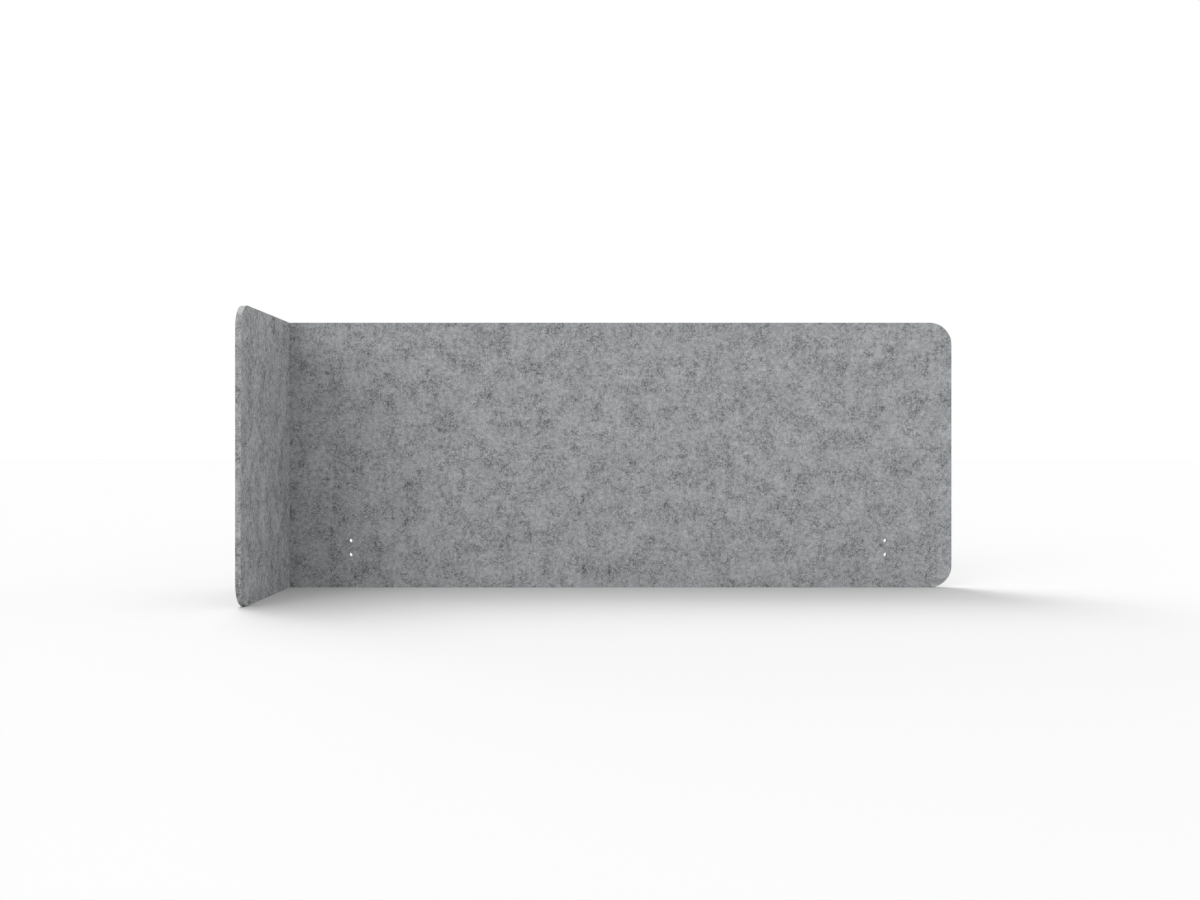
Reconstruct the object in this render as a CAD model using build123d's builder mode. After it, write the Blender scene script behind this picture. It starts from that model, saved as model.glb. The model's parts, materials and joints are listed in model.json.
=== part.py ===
from build123d import *
import math
import os

# L-shaped desk screen, cut from one felt board that is grooved on its inner side and folded.
# Millimetres, +Z up. The long leaf lies along X at the back, and the wing comes forward at the left.
# The origin is at the bottom, in the middle of the outer box.

# Driving dimensions
inside_width = 1500
inside_depth = 400
panel_height = 600
board_thickness = 12
corner_radius = 50

# The fold: a V groove of a quarter turn leaves a thin skin on the outer side
skin_thickness = 2
groove_clearance = 0.2
quarter_turn = 90

# Round holes for desk brackets, in one upright pair near each end of the long leaf
hole_diameter = 8
hole_pitch = 32
hole_pair_height = 90
hole_inset = 150

# How far a cut runs past the faces that it opens
cut_overrun = 5

# Outer faces of the two leaves, and their inner faces
right_x = (inside_width + board_thickness) / 2
left_x = -right_x
back_y = (inside_depth + board_thickness) / 2
front_y = -back_y
wing_inner_x = left_x + board_thickness
main_inner_y = back_y - board_thickness

# The groove's apex, where the skin starts on both sides
apex_x = left_x + skin_thickness
apex_y = back_y - skin_thickness

# How far each bevel stands back from the shut groove, measured along the board
bevel_setback = groove_clearance / math.sqrt(2)

# Long leaf, bevelled at the fold and rounded at its free end
with BuildPart() as main_panel:
    with BuildSketch(Plane.XY) as main_plan:
        with BuildLine() as main_outline:
            Polyline(
                (apex_x, back_y),
                (right_x, back_y),
                (right_x, main_inner_y),
                (wing_inner_x + bevel_setback, main_inner_y),
                (apex_x, apex_y + bevel_setback),
                close=True,
            )
        make_face()
    extrude(amount=panel_height)
    free_end_edges = main_panel.edges().filter_by(Axis.Y).group_by(Axis.X)[-1]
    fillet(free_end_edges, radius=corner_radius)

    # Two pairs of bracket holes, right through the board
    board_middle = Plane.XZ.offset(-(back_y + main_inner_y) / 2)
    with BuildSketch(board_middle) as bracket_holes:
        with Locations((left_x + hole_inset, hole_pair_height), (right_x - hole_inset, hole_pair_height)):
            with GridLocations(0, hole_pitch, 1, 2):
                Circle(hole_diameter / 2)
    extrude(amount=board_thickness / 2 + cut_overrun, both=True, mode=Mode.SUBTRACT)
main_panel.part.label = "main_panel"

# Wing, bevelled at the fold and rounded at its front corners
with BuildPart() as wing_panel:
    with BuildSketch(Plane.XY) as wing_plan:
        with BuildLine() as wing_outline:
            Polyline(
                (left_x, apex_y),
                (apex_x - bevel_setback, apex_y),
                (wing_inner_x, main_inner_y - bevel_setback),
                (wing_inner_x, front_y),
                (left_x, front_y),
                close=True,
            )
        make_face()
    extrude(amount=panel_height)
    front_edges = wing_panel.edges().filter_by(Axis.X).group_by(Axis.Y)[0]
    fillet(front_edges, radius=corner_radius)
wing_panel.part.label = "wing_panel"

# Uncut skin of the board, bent round the groove's apex from one leaf to the other
with BuildPart() as fold_skin:
    with BuildSketch(Plane.XY) as skin_plan:
        with BuildLine() as skin_outline:
            outer_face = CenterArc((apex_x, apex_y), skin_thickness, quarter_turn, quarter_turn)
            Polyline(outer_face @ 1, (apex_x, apex_y), outer_face @ 0)
        make_face()
    extrude(amount=panel_height)
fold_skin.part.label = "fold_skin"

# One file for each piece
os.makedirs("parts", exist_ok=True)
export_step(main_panel.part, "parts/main_panel.step")
export_step(wing_panel.part, "parts/wing_panel.step")
export_step(fold_skin.part, "parts/fold_skin.step")
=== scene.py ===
import json
import math

import bpy
import numpy as np
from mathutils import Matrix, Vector, noise
from mathutils.geometry import delaunay_2d_cdt


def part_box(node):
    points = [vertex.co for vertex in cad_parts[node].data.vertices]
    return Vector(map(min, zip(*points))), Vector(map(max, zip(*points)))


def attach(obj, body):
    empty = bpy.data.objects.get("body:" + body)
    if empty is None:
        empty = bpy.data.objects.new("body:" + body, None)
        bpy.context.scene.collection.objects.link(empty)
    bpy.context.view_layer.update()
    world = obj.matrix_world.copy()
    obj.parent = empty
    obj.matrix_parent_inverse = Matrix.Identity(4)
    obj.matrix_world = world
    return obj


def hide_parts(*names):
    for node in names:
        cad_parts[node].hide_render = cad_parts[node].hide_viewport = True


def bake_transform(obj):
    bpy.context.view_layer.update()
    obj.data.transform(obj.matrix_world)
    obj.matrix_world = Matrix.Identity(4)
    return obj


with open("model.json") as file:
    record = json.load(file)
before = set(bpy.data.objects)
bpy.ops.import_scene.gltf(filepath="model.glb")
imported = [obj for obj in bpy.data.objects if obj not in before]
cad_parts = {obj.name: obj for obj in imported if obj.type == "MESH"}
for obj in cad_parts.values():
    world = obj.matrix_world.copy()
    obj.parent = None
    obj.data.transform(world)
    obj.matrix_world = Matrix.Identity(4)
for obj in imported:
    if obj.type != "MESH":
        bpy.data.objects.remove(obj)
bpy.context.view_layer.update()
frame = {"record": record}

# A desk screen of one grooved and folded felt board. Metres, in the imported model's frame.
# Every felt piece is made in sheet coordinates: s runs along the unfolded board from the fold,
# z runs up, and t runs through the board from its outer face. s is negative on the wing.
MM = 0.001
QUARTER_TURN = math.pi / 2

# Places read from the frame
MAIN_LOW, MAIN_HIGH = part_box("main_panel")
WING_LOW, WING_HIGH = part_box("wing_panel")
SKIN_LOW, SKIN_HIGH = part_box("fold_skin")
HEIGHT = MAIN_HIGH.z
LEFT_X = WING_LOW.x
BACK_Y = MAIN_HIGH.y
APEX_X = SKIN_HIGH.x
APEX_Y = SKIN_LOW.y
BOARD = MAIN_HIGH.y - MAIN_LOW.y
SKIN = SKIN_HIGH.y - SKIN_LOW.y
MAIN_LENGTH = MAIN_HIGH.x - APEX_X
WING_LENGTH = APEX_Y - WING_LOW.y

# Length of the outer face round the fold
FOLD_LENGTH = SKIN * QUARTER_TURN

# The outline's corners, and how far the bevels stand back from the shut groove
CORNER_RADIUS = 50 * MM
BEVEL_SETBACK = 0.14 * MM

# Softened cut edges. The one along the inner crease is softened by only a share of that.
EDGE_RADIUS = 0.5 * MM
EDGE_STEPS = 3
CREASE_ROUNDING_SHARE = 0.4

# Slight waviness of the cut edges, with a second layer that is finer and weaker by these factors
EDGE_WAVE = 0.10 * MM
EDGE_WAVE_LENGTH = 4.0 * MM
EDGE_WAVE_FINER = 2.7
EDGE_WAVE_SHARE = 0.6

# Slow unevenness of the felt's faces, in two layers again, which dies out beside the fold
RELIEF = 0.14 * MM
RELIEF_LENGTH = 34.0 * MM
RELIEF_FINER = 2.3
RELIEF_SHARE = 0.5
FOLD_FADE = 12.0 * MM

# Felt squeezed out along the inner crease, more in some places than in others
CREASE_SWELL = 1.2 * MM
CREASE_SWELL_LENGTH = 17.0 * MM
CREASE_SWELL_REACH = 11.0 * MM

# How deep into the board the unevenness of a face reaches
RELIEF_DEPTH = 4.0 * MM

# Mesh spacing: over the faces, along the outline, and inside it to hold its edges
FACE_STEP = 6.0 * MM
RIM_STEP = 3.0 * MM
SUPPORT_INSET = 0.5 * MM

# Rows of faces across a cut edge, from the groove's bottom to the inner face, points round a hole, and
# how far outside the hole its outer supports lie, as a share of its radius
WALL_ROWS = 6
HOLE_POINTS = 28
HOLE_SUPPORT_SHARE = 0.6

# How far the points of a face stay from its rim, as a share of their spacing, and from the middle of a
# hole, as a share of its radius
FACE_CLEAR_SHARE = 0.7
HOLE_CLEAR_SHARE = 2.2

# Points that are nearer to each other than this are taken as one
MERGE_DISTANCE = 1e-7

# Kind of filling that leaves out what lies outside the first loop
FILL_INSIDE = 1

# An edge whose way out points down by more than this is underneath, where the screen stands
UNDERNEATH = 0.9

# The bent skin's steps round the fold, and how far its hidden tongues stay inside the board's ends
SKIN_ARC_STEPS = 8
TONGUE_INSET = 0.6 * MM


def smooth(x):
    """Smooth step, from 0 where x is 0 to 1 where x is 1."""
    x = min(1.0, max(0.0, x))
    return x * x * (3 - 2 * x)


def uneven(point, finer, share):
    """Two layers of noise, the second one finer times as fine and share as strong."""
    return noise.noise(point) + share * noise.noise(point * finer)


def relief(s, z, face, from_fold):
    """How far a face of the felt stands out at a place on the sheet. face is 0 outside and 1 inside."""
    rise = uneven(Vector((s, z, face)) / RELIEF_LENGTH, RELIEF_FINER, RELIEF_SHARE)
    crease_place = Vector((s + BOARD * face, z, 0.0)) / CREASE_SWELL_LENGTH
    swell = uneven(crease_place, RELIEF_FINER, RELIEF_SHARE)
    near_crease = face * smooth(1 - (from_fold - (BOARD - SKIN)) / CREASE_SWELL_REACH)
    return RELIEF * rise * smooth(from_fold / FOLD_FADE) + CREASE_SWELL * abs(swell) * near_crease


def edge_wave(s, z, t):
    """How far a cut edge stands out at a place on the sheet."""
    return EDGE_WAVE * uneven(Vector((s, z, t)) / EDGE_WAVE_LENGTH, EDGE_WAVE_FINER, EDGE_WAVE_SHARE)


def bracket_holes():
    """Centre on the sheet and radius of each bracket hole, from the record's bolt patterns."""
    holes = []
    for mount in frame["record"]["mounts"]:
        if mount["kind"] == "bolt_pattern":
            x, _, z = mount["pos_m"]
            reach = mount["dims"]["spacing_y_mm"] * MM / 2
            radius = mount["dims"]["hole_r_mm"] * MM
            holes += [(Vector((x - APEX_X, z + side * reach)), radius) for side in (-1, 1)]
    return holes


def bands(rings):
    """The faces between each ring of points and the next."""
    faces = []
    for lower, upper in zip(rings[:-1], rings[1:]):
        for i in range(len(lower)):
            j = (i + 1) % len(lower)
            faces.append((lower[i], lower[j], upper[j], upper[i]))
    return faces


def along(start, end, count):
    """Evenly spaced points from start towards end, without end."""
    start, end = Vector(start), Vector(end)
    return [start.lerp(end, i / count) for i in range(count)]


def arc(centre, radius, first_turn, turn, count):
    """Evenly spaced points round centre, without the last one."""
    angles = [first_turn + turn * i / count for i in range(count)]
    return [Vector(centre) + radius * Vector((math.cos(angle), math.sin(angle))) for angle in angles]


def outline(length, fold_s, inset):
    """The leaf's outline, anticlockwise from the bottom of the fold, its free sides drawn in by inset."""
    turn_s = length - CORNER_RADIUS
    upper_z = HEIGHT - CORNER_RADIUS
    top = HEIGHT - inset
    side = length - inset
    radius = CORNER_RADIUS - inset
    level_count = round(turn_s / RIM_STEP)
    arc_count = round(CORNER_RADIUS * QUARTER_TURN / RIM_STEP)
    points = along((fold_s, inset), (turn_s, inset), level_count)
    points += arc((turn_s, CORNER_RADIUS), radius, -QUARTER_TURN, QUARTER_TURN, arc_count)
    points += along((side, CORNER_RADIUS), (side, upper_z), round((upper_z - CORNER_RADIUS) / RIM_STEP))
    points += arc((turn_s, upper_z), radius, 0.0, QUARTER_TURN, arc_count)
    points += along((turn_s, top), (fold_s, top), level_count)
    points += along((fold_s, top), (fold_s, inset), round(HEIGHT / RIM_STEP))
    return points


def edge_rounding():
    """(depth, inset) round a softened edge, from the face that it ends to the wall."""
    angles = [QUARTER_TURN * i / EDGE_STEPS for i in range(EDGE_STEPS + 1)]
    return [(EDGE_RADIUS * (1 - math.cos(angle)), EDGE_RADIUS * (1 - math.sin(angle))) for angle in angles]


def edge_profile():
    """(t, inset) across the cut edge, from the outer face to the inner face."""
    outer = edge_rounding()
    inner = [(BOARD - t, inset) for t, inset in reversed(outer)]
    groove_t = SKIN - BEVEL_SETBACK
    step = (inner[0][0] - groove_t) / WALL_ROWS
    return outer + [(groove_t + step * i, 0.0) for i in range(WALL_ROWS)] + inner


def fold_side(t, inset):
    """Where the leaf ends at the fold: at the seam with the skin, and deeper in along the bevel."""
    bevel = t - (SKIN - BEVEL_SETBACK)
    if bevel <= 0:
        return 0.0
    return bevel + (CREASE_ROUNDING_SHARE * inset if t > BOARD / 2 else 0.0)


def face_points(rim, holes):
    """Points in staggered rows inside a face, clear of its rim and its holes."""
    low_s = min(p.x for p in rim)
    high_s = max(p.x for p in rim)
    clear = FACE_CLEAR_SHARE * FACE_STEP
    rows = round(HEIGHT / (FACE_STEP * math.sqrt(3) / 2))
    points = []
    for row in range(1, rows):
        z = HEIGHT * row / rows
        past_z = abs(z - HEIGHT / 2) - (HEIGHT / 2 - CORNER_RADIUS)
        first_s = low_s + clear + (row % 2) * FACE_STEP / 2
        for s in np.arange(first_s, high_s - clear, FACE_STEP):
            past_s = s - (high_s - CORNER_RADIUS)
            past_corner = past_s > 0 and past_z > 0 and math.hypot(past_s, past_z) > CORNER_RADIUS - clear
            near_end = not clear < z < HEIGHT - clear
            point = Vector((s, z))
            near_hole = any((point - middle).length < HOLE_CLEAR_SHARE * radius for middle, radius in holes)
            if not (past_corner or near_end or near_hole):
                points.append(point)
    return points


def filled(loops, inner_points, holes):
    """Triangles that fill the first loop, apart from the holes that the other loops go round."""
    points = [p for loop in loops for p in loop]
    edges = []
    first = 0
    for loop in loops:
        edges += [(first + i, first + (i + 1) % len(loop)) for i in range(len(loop))]
        first += len(loop)
    points += inner_points
    _, _, faces, sources, _, _ = delaunay_2d_cdt(points, edges, [], FILL_INSIDE, MERGE_DISTANCE)
    triangles = []
    for face in faces:
        corners = [sources[i][0] for i in face]
        middle = sum((points[i] for i in corners), Vector((0, 0))) / len(corners)
        if all((middle - hole).length > radius for hole, radius in holes):
            triangles.append(corners)
    return triangles


def ways_out(points, fold_s):
    """The unit way out of the outline at each point. Nothing on the fold's side or underneath."""
    ways = []
    for i, point in enumerate(points):
        run = points[(i + 1) % len(points)] - points[i - 1]
        way = Vector((run.y, -run.x)).normalized()
        held = point.x <= fold_s + MERGE_DISTANCE or way.y < -UNDERNEATH
        ways.append(Vector((0, 0)) if held else way)
    return ways


class Leaf:
    """The mesh of one leaf of the board: closed, with softened cut edges and slightly uneven faces.
    place puts a point (s, z, t) in the model, and mirrored says that it does so as a mirror image."""

    def __init__(self, length, holes, place, sheet_s, mirrored):
        self.length = length
        self.holes = holes
        self.place = place
        self.sheet_s = sheet_s
        self.points, self.sheet, self.faces = [], [], []
        self.profile = edge_profile()
        self.build()
        if mirrored:
            self.faces = [corners[::-1] for corners in self.faces]

    def add(self, point, t, way=Vector((0, 0))):
        """Adds a point of the sheet at depth t. way is the way that a cut edge faces there."""
        s = self.sheet_s(point.x)
        moved = point + way * edge_wave(s, point.y, t)
        outside = relief(s, point.y, 0, point.x) * smooth(1 - t / RELIEF_DEPTH)
        inside = relief(s, point.y, 1, point.x) * smooth(1 - (BOARD - t) / RELIEF_DEPTH)
        self.points.append(self.place(moved.x, moved.y, t - outside + inside))
        self.sheet.append((s, point.y, t))
        return len(self.points) - 1

    def ring(self, points, t, ways):
        return [self.add(point, t, way) for point, way in zip(points, ways)]

    def hole_loop(self, hole, grow):
        """A hole's rim, clockwise, because the board lies outside it."""
        middle, radius = hole
        return arc(middle, radius + grow, 0.0, -2 * math.pi, HOLE_POINTS)

    def build(self):
        outer_rings = []
        for t, inset in self.profile:
            fold_s = fold_side(t, inset)
            points = outline(self.length, fold_s, inset)
            outer_rings.append(self.ring(points, t, ways_out(points, fold_s)))
        self.faces += bands(outer_rings)
        hole_rings = []
        for hole in self.holes:
            rings = []
            for t, inset in self.profile:
                points = self.hole_loop(hole, inset)
                rings.append(self.ring(points, t, [(hole[0] - p).normalized() for p in points]))
            self.faces += bands(rings)
            hole_rings.append(rings)
        for end in (0, -1):
            rims = [outer_rings[end]] + [rings[end] for rings in hole_rings]
            self.close(end, rims)

    def close(self, end, rims):
        """Fills one face of the board between the rims that its walls end in."""
        t, inset = self.profile[end]
        fold_s = fold_side(t, inset)
        loops = [outline(self.length, fold_s, inset)]
        loops += [self.hole_loop(hole, inset) for hole in self.holes]
        supports = outline(self.length, fold_s + SUPPORT_INSET, inset + SUPPORT_INSET)
        for hole in self.holes:
            supports += self.hole_loop(hole, inset + SUPPORT_INSET)
            supports += self.hole_loop(hole, inset + HOLE_SUPPORT_SHARE * hole[1])
        inner = supports + face_points(loops[0], self.holes)
        index = [i for rim in rims for i in rim]
        index += [self.add(point, t) for point in inner]
        mouths = [(middle, radius + inset) for middle, radius in self.holes]
        for a, b, c in filled(loops, inner, mouths):
            corners = (index[a], index[b], index[c])
            self.faces.append(corners[::-1] if end == 0 else corners)


def scene_object(name, data):
    """A new object in the scene, made of the data."""
    thing = bpy.data.objects.new(name, data)
    bpy.context.scene.collection.objects.link(thing)
    return thing


def mesh_object(name, points, faces, sheet):
    """A smooth-shaded object whose points carry their sheet coordinates."""
    mesh = bpy.data.meshes.new(name)
    mesh.from_pydata(points, [], faces)
    attribute = mesh.attributes.new("sheet", "FLOAT_VECTOR", "POINT")
    attribute.data.foreach_set("vector", np.array(sheet, np.float32).ravel())
    mesh.shade_smooth()
    mesh.update()
    return scene_object(name, mesh)


def main_leaf(name):
    leaf = Leaf(
        MAIN_LENGTH,
        bracket_holes(),
        place=lambda s, z, t: (APEX_X + s, BACK_Y - t, z),
        sheet_s=lambda s: s,
        mirrored=False,
    )
    return mesh_object(name, leaf.points, leaf.faces, leaf.sheet)


def wing_leaf(name):
    leaf = Leaf(
        WING_LENGTH,
        [],
        place=lambda s, z, t: (LEFT_X + t, APEX_Y - s, z),
        sheet_s=lambda s: -FOLD_LENGTH - s,
        mirrored=True,
    )
    return mesh_object(name, leaf.points, leaf.faces, leaf.sheet)


def fold_skin(name):
    """The bent skin: a quarter round outside, and two hidden tongues that reach into the leaves.
    The tongues give the skin a flat underside when the screen is opened out."""
    points, sheet = [], []

    def section(z, inset, tongue_z):
        """One level of the skin, anticlockwise from the long leaf's seam."""
        first = len(points)
        radius = SKIN - inset
        for i in range(SKIN_ARC_STEPS + 1):
            angle = QUARTER_TURN * i / SKIN_ARC_STEPS
            points.append((APEX_X - radius * math.sin(angle), APEX_Y + radius * math.cos(angle), z))
            sheet.append((-FOLD_LENGTH * i / SKIN_ARC_STEPS, z, inset))
        points.append((APEX_X, APEX_Y - SKIN, tongue_z))
        points.append((APEX_X, APEX_Y, z))
        points.append((APEX_X + SKIN, APEX_Y, tongue_z))
        sheet.extend([(-FOLD_LENGTH - SKIN, z, SKIN), (-FOLD_LENGTH / 2, z, SKIN), (SKIN, z, SKIN)])
        return list(range(first, len(points)))

    rounding = edge_rounding()
    rows = round((HEIGHT - 2 * EDGE_RADIUS) / RIM_STEP)
    step = (HEIGHT - 2 * EDGE_RADIUS) / rows
    levels = [section(z, inset, z + TONGUE_INSET) for z, inset in rounding]
    levels += [section(EDGE_RADIUS + step * i, 0.0, EDGE_RADIUS + step * i) for i in range(1, rows)]
    levels += [section(HEIGHT - z, inset, HEIGHT - z - TONGUE_INSET) for z, inset in reversed(rounding)]
    faces = bands(levels) + [levels[0][::-1], levels[-1]]
    return mesh_object(name, points, faces, sheet)


# Step from the place of one noise to that of the next, so that no two are alike
PLACE_STEP = Vector((1.37, 2.11, 0.93))

# A noise's value runs from 0 to 1 about this middle
NOISE_MIDDLE = 0.5

# The colour sockets of a mix node, which shares its names between kinds of value
MIX_A, MIX_B, MIX_RESULT = 6, 7, 2


class Graph:
    """A material's nodes, by short calls. Its patterns lie flat in the sheet, or run through the board."""

    def __init__(self, name, first_place=0, through=False):
        self.material = bpy.data.materials.new(name)
        self.material.use_nodes = True
        self.nodes = self.material.node_tree.nodes
        self.links = self.material.node_tree.links
        self.shader = self.nodes["Principled BSDF"]
        self.place = first_place
        self.through = through

    def put(self, socket, value):
        """Feeds a socket, from another socket or with a constant."""
        if isinstance(value, bpy.types.NodeSocket):
            self.links.new(value, socket)
        else:
            socket.default_value = value

    def sheet(self):
        found = self.nodes.new("ShaderNodeAttribute")
        found.attribute_name = "sheet"
        return found.outputs["Vector"]

    def part(self, vector, axis):
        """One of the three parts of a vector."""
        found = self.nodes.new("ShaderNodeSeparateXYZ")
        self.put(found.inputs[0], vector)
        return found.outputs[axis]

    def upwards(self):
        """How far the surface faces upwards: 1 on a level top and 0 on an upright face."""
        surface = self.nodes.new("ShaderNodeNewGeometry")
        return self.part(surface.outputs["Normal"], "Z")

    def laid(self, vector, length, width, turn):
        """Coordinates in features, which are length by width and lie at turn from their way."""
        self.place += 1
        found = self.nodes.new("ShaderNodeMapping")
        found.vector_type = "TEXTURE"
        self.put(found.inputs["Vector"], vector)
        found.inputs["Location"].default_value = PLACE_STEP * self.place
        if self.through:
            found.inputs["Rotation"].default_value = (turn, turn, 0)
            found.inputs["Scale"].default_value = (width, width, length)
        else:
            found.inputs["Rotation"].default_value = (0, 0, turn)
            found.inputs["Scale"].default_value = (length, width, width)
        return found.outputs["Vector"]

    def noise(
        self, vector, length, width=None, turn=0.0, output="Fac", detail=0.0, roughness=0.5, swirl=0.0
    ):
        """Noise from 0 to 1 whose features are about length by width."""
        found = self.nodes.new("ShaderNodeTexNoise")
        found.noise_dimensions = "3D" if self.through else "2D"
        self.put(found.inputs["Vector"], self.laid(vector, length, width or length, turn))
        found.inputs["Scale"].default_value = 1.0
        found.inputs["Detail"].default_value = detail
        found.inputs["Roughness"].default_value = roughness
        found.inputs["Distortion"].default_value = swirl
        return found.outputs[output]

    def curled(self, vector, length, reach):
        """The vector, wandering by up to half of reach to each side over a distance of length."""
        middle = (NOISE_MIDDLE, NOISE_MIDDLE, NOISE_MIDDLE)
        wander = self.vector_math("SUBTRACT", self.noise(vector, length, output="Color"), middle)
        return self.vector_math("MULTIPLY_ADD", wander, (reach, reach, 0), vector)

    def math(self, kind, a, b=0.0, c=0.0):
        found = self.nodes.new("ShaderNodeMath")
        found.operation = kind
        for socket, value in zip(found.inputs, (a, b, c)):
            self.put(socket, value)
        return found.outputs[0]

    def vector_math(self, kind, *values):
        found = self.nodes.new("ShaderNodeVectorMath")
        found.operation = kind
        for socket, value in zip(found.inputs, values):
            self.put(socket, value)
        return found.outputs[0]

    def ramp(self, value, low, high, to_low=0.0, to_high=1.0):
        """Smooth step of value from low to high, which may run downwards."""
        found = self.nodes.new("ShaderNodeMapRange")
        found.interpolation_type = "SMOOTHSTEP"
        names = ("Value", "From Min", "From Max", "To Min", "To Max")
        for name, given in zip(names, (value, low, high, to_low, to_high)):
            self.put(found.inputs[name], given)
        return found.outputs["Result"]

    def centred(self, value):
        """A noise's value, moved so that it runs about 0."""
        return self.math("SUBTRACT", value, NOISE_MIDDLE)

    def lines(self, value, width):
        """1 along the lines where a noise crosses its middle value, and 0 from width off it."""
        return self.ramp(self.math("ABSOLUTE", self.centred(value)), 0.0, width, 1.0, 0.0)

    def hairs(self, vector, length, width, first_turn):
        """1 on thin strands that cross each other in three directions, and 0 between them."""
        found = None
        for i in range(HAIR_WAYS):
            turn = first_turn + math.pi * i / HAIR_WAYS
            strand = self.ramp(self.noise(vector, length, width, turn), HAIR_STARTS, HAIR_FULL)
            found = self.math("MAXIMUM", found, strand) if found else strand
        return found

    def zoned(self, value, zone, outside, inside):
        """The value, times outside where zone is 0 and times inside where it is 1."""
        strength = self.math("MULTIPLY_ADD", zone, inside - outside, outside)
        return self.math("MULTIPLY", value, strength)

    def total(self, *terms):
        """The sum of (value, weight) pairs."""
        found = 0.0
        for value, weight in terms:
            found = self.math("MULTIPLY_ADD", value, weight, found)
        return found

    def mix(self, share, a, b):
        found = self.nodes.new("ShaderNodeMix")
        found.data_type = "RGBA"
        self.put(found.inputs["Factor"], share)
        self.put(found.inputs[MIX_A], a)
        self.put(found.inputs[MIX_B], b)
        return found.outputs[MIX_RESULT]

    def bump(self, height, distance, strength):
        found = self.nodes.new("ShaderNodeBump")
        found.inputs["Strength"].default_value = strength
        found.inputs["Distance"].default_value = distance
        self.put(found.inputs["Height"], height)
        return found.outputs["Normal"]


# The felt's darkest and lightest fibres, as linear reflectance, and the felts' mean tones between them:
# 0 is as dark as the darkest fibres and 1 as light as the lightest. The walls of the holes are painted
# dark, as painted shade inside them.
FELT_DARK = 0.042
FELT_LIGHT = 0.500
FACE_TONE = 0.415
# Painted shade: the wing's inner face is given a slightly darker tone than the long leaf's inner face
WING_SHADE_TONE = 0.400
CUT_TONE = 0.378
# Painted shade: the holes' walls are made nearly as dark as the darkest fibres
HOLE_SHADE_TONE = 0.040

# The faces are a cool grey, and the cut edges a neutral one
FACE_TINT = Vector((0.970, 1.000, 1.026))
WING_TINT = Vector((0.985, 1.000, 1.034))
CUT_TINT = Vector((0.990, 1.000, 0.996))

# Strength of the marl, which is bolder on the wing's inner face and on the cut edges, and faint in holes
FACE_CONTRAST = 1.27
WING_CONTRAST = 1.60
CUT_CONTRAST = 2.00
HOLE_CONTRAST = 0.50

# Size of the marl along the sheet, up it and through it. It is larger on the wing and finer on cut edges.
FACE_SCALE = Vector((1.0, 1.0, 1.0))
WING_SCALE = Vector((1.2, 1.4, 1.0))
CUT_SCALE = Vector((0.6, 0.6, 0.6))

# First place among the noises for each felt, so that no felt repeats another
INNER_PLACE = 0
OUTER_PLACE = 40
CUT_PLACE = 80
HOLE_PLACE = 120
WING_PLACE = 380

# Painted highlight on the cut edges that face upwards, lighter where light from above falls on them
TOP_HIGHLIGHT_STARTS = 0.50
TOP_HIGHLIGHT_FULL = 0.80
TOP_HIGHLIGHT_LIGHTENING = 0.130

# Painted shade beside the crease: the long leaf's inner face is made darker there, fading out over this
# reach
CREASE_SHADE_REACH = 50 * MM
CREASE_SHADE_DARKENING = 0.065

# The marl's noises, from the broadest to the finest. Some hold finer detail, and some swirl.
CLOUD = {"length": 75 * MM, "detail": 1.0, "roughness": 0.9}
ZONE = {"length": 42 * MM, "detail": 2.0, "roughness": 0.7}
KNOT = {"length": 21 * MM, "detail": 3.0, "roughness": 0.8, "swirl": 0.5}
WISP = {"length": 11 * MM, "detail": 1.5, "roughness": 0.6, "swirl": 0.9}
MOTTLE = {"length": 10 * MM}
THREAD = {"length": 7 * MM, "detail": 1.0, "roughness": 0.6, "swirl": 1.0}
GRAIN = {"length": 4.2 * MM, "detail": 1.0, "roughness": 1.0}

# Where a zone and a knot start and are full, as values of their noises
ZONE_STARTS = 0.60
ZONE_FULL = 0.38
KNOT_STARTS = 0.50
KNOT_FULL = 0.30

# How far a wisp and a thread reach to each side of the middle value of their noises
WISP_REACH = 0.050
THREAD_REACH = 0.055

# Single fibres, which cross in three directions and curl
HAIR_LENGTH = 9 * MM
DARK_HAIR_WIDTH = 0.45 * MM
LIGHT_HAIR_WIDTH = 0.50 * MM
HAIR_WAYS = 3
DARK_HAIR_TURN = math.radians(10)
LIGHT_HAIR_TURN = math.radians(40)
HAIR_STARTS = 0.56
HAIR_FULL = 0.70
CURL_SIZE = 9 * MM
CURL_REACH = 5.5 * MM

# What each feature adds to the tone, where 0 is the darkest fibre and 1 the lightest
CLOUD_WEIGHT = 0.173
ZONE_WEIGHT = -0.022
KNOT_WEIGHT = -0.115
WISP_WEIGHT = -0.070
THREAD_WEIGHT = -0.028
MOTTLE_WEIGHT = 0.19
GRAIN_WEIGHT = 0.52
DARK_HAIR_WEIGHT = -0.16
LIGHT_HAIR_WEIGHT = 0.12

# Strength of knots, grain and dark hairs outside the zones and inside them
KNOT_OUTSIDE = 0.4
KNOT_INSIDE = 1.0
GRAIN_OUTSIDE = 0.75
GRAIN_INSIDE = 1.25
DARK_HAIR_OUTSIDE = 0.6
DARK_HAIR_INSIDE = 1.0

# What all the marl's features add to the tone on average
MARL_MEAN = -0.059

# Relief of the fibres over the felt's ground, as a bump
FIBRE_HEIGHT = 0.3 * MM
FIBRE_BUMP = 0.6
GRAIN_RISE = 0.5
LIGHT_HAIR_RISE = 0.5
DARK_HAIR_RISE = 0.35

# Surface of the felt, which is rougher where it is darker
DARK_TONE = 0.2
DARK_ROUGHNESS = 0.96
LIGHT_TONE = 0.6
LIGHT_ROUGHNESS = 0.88
FELT_SPECULAR = 0.25
FELT_SHEEN = 0.12
FELT_SHEEN_ROUGHNESS = 0.5


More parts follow.
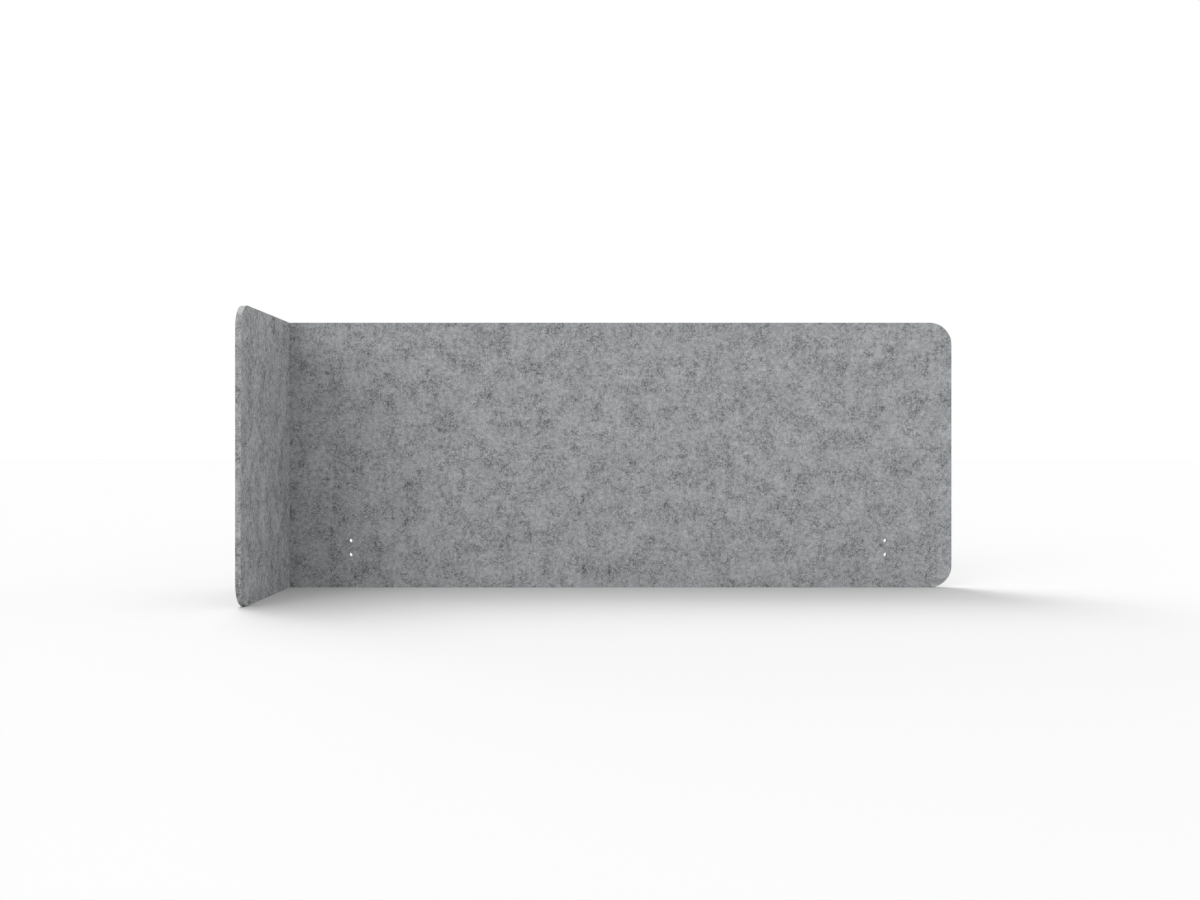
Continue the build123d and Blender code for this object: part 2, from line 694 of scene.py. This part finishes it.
def felt(name, tone, tint, contrast, scale, first_place, through=False, top_highlight=False, crease_shade=False):
    """Marled felt in sheet coordinates: a light ground with dark curly wisps that gather in zones,
    grain, and fine crossing fibres that show close up. It can carry a painted highlight where it faces
    upwards, and painted shade beside the crease."""
    graph = Graph(name, first_place, through)
    sheet = graph.vector_math("DIVIDE", graph.sheet(), scale)

    # Broad clouds, and the zones where dark fibres gather: 1 in a zone and 0 outside
    cloud = graph.centred(graph.noise(sheet, **CLOUD))
    zone = graph.ramp(graph.noise(sheet, **ZONE), ZONE_STARTS, ZONE_FULL)

    # Dark knots, curly wisps and threads
    knots = graph.ramp(graph.noise(sheet, **KNOT), KNOT_STARTS, KNOT_FULL)
    zoned_knots = graph.zoned(knots, zone, KNOT_OUTSIDE, KNOT_INSIDE)
    wisps = graph.lines(graph.noise(sheet, **WISP), WISP_REACH)
    zoned_wisps = graph.math("MULTIPLY", wisps, zone)
    threads = graph.lines(graph.noise(sheet, **THREAD), THREAD_REACH)

    # Mottle and grain
    mottle = graph.centred(graph.noise(sheet, **MOTTLE))
    grain = graph.centred(graph.noise(sheet, **GRAIN))
    zoned_grain = graph.zoned(grain, zone, GRAIN_OUTSIDE, GRAIN_INSIDE)

    # Single dark and light fibres
    curly = graph.curled(sheet, CURL_SIZE, CURL_REACH)
    dark_hairs = graph.hairs(curly, HAIR_LENGTH, DARK_HAIR_WIDTH, DARK_HAIR_TURN)
    light_hairs = graph.hairs(curly, HAIR_LENGTH, LIGHT_HAIR_WIDTH, LIGHT_HAIR_TURN)
    zoned_hairs = graph.zoned(dark_hairs, zone, DARK_HAIR_OUTSIDE, DARK_HAIR_INSIDE)

    # Share of the lightest fibres in the colour
    marl = graph.total(
        (cloud, CLOUD_WEIGHT),
        (zone, ZONE_WEIGHT),
        (zoned_knots, KNOT_WEIGHT),
        (zoned_wisps, WISP_WEIGHT),
        (threads, THREAD_WEIGHT),
        (mottle, MOTTLE_WEIGHT),
        (zoned_grain, GRAIN_WEIGHT),
        (zoned_hairs, DARK_HAIR_WEIGHT),
        (light_hairs, LIGHT_HAIR_WEIGHT),
    )
    share = graph.math("MULTIPLY_ADD", graph.math("SUBTRACT", marl, MARL_MEAN), contrast, tone)
    # Painted shade: darker beside the crease, fading out away from it
    if crease_shade:
        from_crease = graph.math("SUBTRACT", graph.part(graph.sheet(), "X"), BOARD - SKIN)
        painted_crease_shade = graph.ramp(from_crease, 0.0, CREASE_SHADE_REACH, CREASE_SHADE_DARKENING, 0.0)
        share = graph.math("SUBTRACT", share, painted_crease_shade)
    # Painted highlight: lighter where the surface faces upwards
    if top_highlight:
        painted_top_highlight = graph.ramp(graph.upwards(), TOP_HIGHLIGHT_STARTS, TOP_HIGHLIGHT_FULL, 0.0, TOP_HIGHLIGHT_LIGHTENING)
        share = graph.math("ADD", share, painted_top_highlight)

    dark, light = [(*(tint * grey), 1) for grey in (FELT_DARK, FELT_LIGHT)]
    graph.put(graph.shader.inputs["Base Color"], graph.mix(share, dark, light))
    roughness = graph.ramp(share, DARK_TONE, LIGHT_TONE, DARK_ROUGHNESS, LIGHT_ROUGHNESS)
    graph.put(graph.shader.inputs["Roughness"], roughness)
    height = graph.total((grain, GRAIN_RISE), (light_hairs, LIGHT_HAIR_RISE), (dark_hairs, DARK_HAIR_RISE))
    graph.put(graph.shader.inputs["Normal"], graph.bump(height, FIBRE_HEIGHT, FIBRE_BUMP))
    graph.shader.inputs["Specular IOR Level"].default_value = FELT_SPECULAR
    graph.shader.inputs["Sheen Weight"].default_value = FELT_SHEEN
    graph.shader.inputs["Sheen Roughness"].default_value = FELT_SHEEN_ROUGHNESS
    return graph.material


# Places in each piece's list of materials
OUTER, INNER, CUT, HOLE = range(4)


def dress(piece, *felts):
    """Gives a piece its felts, for the outer face, the inner face, the cut edges and the holes' walls."""
    for material in felts:
        piece.data.materials.append(material)
    sheet = np.zeros(len(piece.data.vertices) * 3, np.float32)
    piece.data.attributes["sheet"].data.foreach_get("vector", sheet)
    sheet = sheet.reshape(-1, 3)
    holes = bracket_holes()
    for polygon in piece.data.polygons:
        s, z, depth = sheet[list(polygon.vertices)].mean(axis=0)
        if depth < EDGE_RADIUS:
            polygon.material_index = OUTER
        elif depth > BOARD - EDGE_RADIUS:
            polygon.material_index = INNER
        elif any((Vector((s, z)) - middle).length < radius + EDGE_RADIUS for middle, radius in holes):
            polygon.material_index = HOLE
        else:
            polygon.material_index = CUT


def join_up(piece, body, node):
    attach(piece, body)
    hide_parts(node)


def screen():
    outer = felt("felt_outer_face", FACE_TONE, FACE_TINT, FACE_CONTRAST, FACE_SCALE, OUTER_PLACE)
    # The long leaf's inner face carries painted shade beside the crease
    inner = felt(
        "felt_inner_face", FACE_TONE, FACE_TINT, FACE_CONTRAST, FACE_SCALE, INNER_PLACE, crease_shade=True
    )
    # The wing's inner face is a darker copy of the face felt, as painted shade
    wing_inner = felt("felt_wing_inner_face", WING_SHADE_TONE, WING_TINT, WING_CONTRAST, WING_SCALE, WING_PLACE)
    # The cut edges carry a painted highlight where they face upwards
    cut = felt(
        "felt_cut_edge", CUT_TONE, CUT_TINT, CUT_CONTRAST, CUT_SCALE, CUT_PLACE, through=True, top_highlight=True
    )
    # The holes' walls carry painted shade
    hole = felt("felt_hole_wall", HOLE_SHADE_TONE, CUT_TINT, HOLE_CONTRAST, CUT_SCALE, HOLE_PLACE, through=True)
    main_felt = main_leaf("main_panel_felt")
    wing_felt = wing_leaf("wing_panel_felt")
    skin_felt = fold_skin("fold_skin_felt")
    dress(main_felt, outer, inner, cut, hole)
    dress(wing_felt, outer, wing_inner, cut)
    dress(skin_felt, outer, inner, cut)

    join_up(main_felt, "main_leaf", "main_panel")
    join_up(wing_felt, "wing_leaf", "wing_panel")
    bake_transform(skin_felt)
    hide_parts("fold_skin")


# Camera: level, looking square at the long leaf, with its distance from that leaf's inner face
LENS_MM = 39.2
SENSOR_MM = 36.0
CAMERA_DISTANCE = 2.961
CAMERA_X = -0.0406
CAMERA_Z = 0.3114


def camera():
    data = bpy.data.cameras.new("camera")
    data.lens = LENS_MM
    data.sensor_width = SENSOR_MM
    thing = scene_object("camera", data)
    thing.location = (CAMERA_X, MAIN_LOW.y - CAMERA_DISTANCE, CAMERA_Z)
    thing.rotation_euler = (QUARTER_TURN, 0, 0)
    bpy.context.scene.camera = thing


# Studio: white surroundings, a pale floor, and broad lights. Their angles are in degrees, and a light's
# side is 0 straight behind the screen, 90 on its left and 180 in front.
SKY_STRENGTH = 1.0
FLOOR_REACH = 30.0
FLOOR_GREY = 0.50
LIGHT_DISTANCE = 3.0
LIGHTS = (
    {"name": "back_light", "strength": 1.70, "size": 32, "height": 50, "side": 30},
    {"name": "left_light", "strength": 0.65, "size": 32, "height": 50, "side": 60},
    {"name": "low_back_light", "strength": 1.40, "size": 32, "height": 8, "side": 30},
    {"name": "top_light", "strength": 0.65, "size": 50, "height": 85, "side": 45},
    {"name": "front_light", "strength": 0.80, "size": 32, "height": 25, "side": 150},
    {"name": "low_front_light", "strength": 0.50, "size": 32, "height": 8, "side": 210},
)


def broad_light(name, strength, size, height, side):
    """A distant light that looks as wide as size, so that its shadows are soft."""
    data = bpy.data.lights.new(name, "SUN")
    data.energy = strength
    data.angle = math.radians(size)
    thing = scene_object(name, data)
    up = math.radians(height)
    round_left = math.radians(side)
    level = Vector((-math.sin(round_left), math.cos(round_left), 0))
    towards = level * math.cos(up) + Vector((0, 0, math.sin(up)))
    thing.rotation_euler = towards.to_track_quat("Z", "Y").to_euler()
    thing.location = towards * LIGHT_DISTANCE


def floor():
    reach = FLOOR_REACH
    corners = [(-reach, -reach, 0), (reach, -reach, 0), (reach, reach, 0), (-reach, reach, 0)]
    mesh = bpy.data.meshes.new("floor")
    mesh.from_pydata(corners, [], [(0, 1, 2, 3)])
    thing = scene_object("floor", mesh)
    graph = Graph("floor_paint")
    graph.shader.inputs["Base Color"].default_value = (FLOOR_GREY, FLOOR_GREY, FLOOR_GREY, 1)
    graph.shader.inputs["Roughness"].default_value = 1.0
    graph.shader.inputs["Specular IOR Level"].default_value = 0.0
    mesh.materials.append(graph.material)


def studio():
    bpy.context.scene.view_settings.view_transform = "Standard"
    world = bpy.data.worlds.new("studio_sky")
    world.use_nodes = True
    sky = world.node_tree.nodes["Background"]
    sky.inputs["Color"].default_value = (1, 1, 1, 1)
    sky.inputs["Strength"].default_value = SKY_STRENGTH
    bpy.context.scene.world = world
    for light in LIGHTS:
        broad_light(**light)
    floor()


screen()
camera()
studio()
